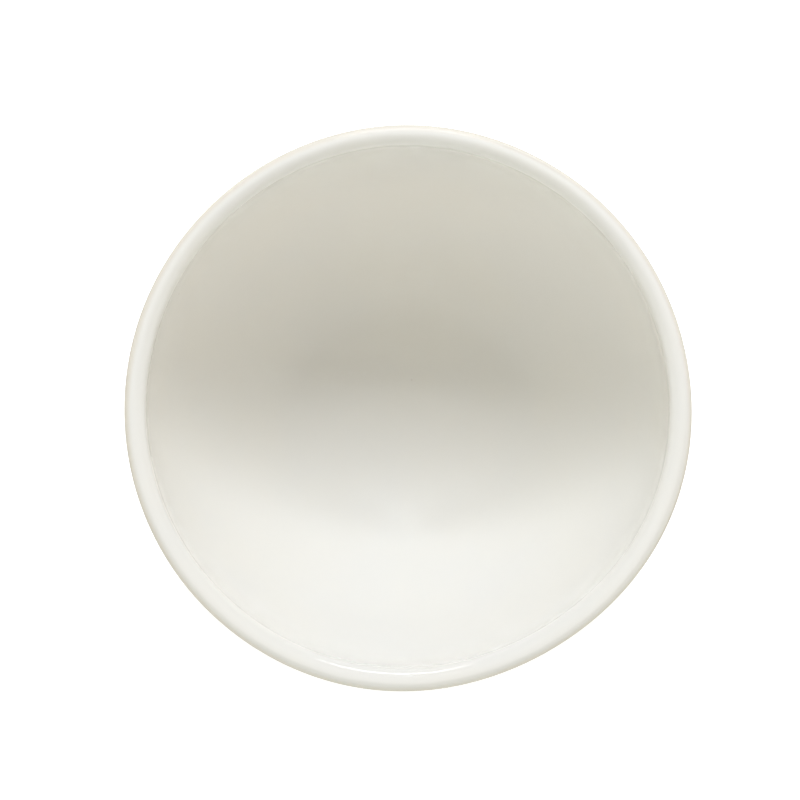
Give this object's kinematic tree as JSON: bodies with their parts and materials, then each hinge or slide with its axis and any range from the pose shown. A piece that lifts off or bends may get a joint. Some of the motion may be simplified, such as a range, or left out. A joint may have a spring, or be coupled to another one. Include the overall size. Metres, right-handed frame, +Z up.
{
  "type": "latte bowl",
  "caption": "Round footed stoneware latte bowl with a thick rounded lip, glossy white glaze inside, cream glaze outside and a bare clay foot, for coffee, soup or cereal.",
  "frame": {"origin": "on the bowl's axis, at the middle of the plane that the foot ring stands on", "axes": "+Z up along the bowl's axis, out of its mouth; X and Y are level and equal, because the bowl is round"},
  "size_m": [0.15, 0.15, 0.0815],
  "materials": {
    "bare_clay": "bare fired buff stoneware, matte and slightly sandy",
    "white_glaze": "glossy warm white glaze",
    "cream_glaze": "glossy cream glaze over buff clay"
  },
  "bodies": {
    "root": {"clay_body": "bare_clay", "inside_glaze": "white_glaze", "outside_glaze": "cream_glaze", "well_glaze": "cream_glaze"}
  },
  "joints": []
}
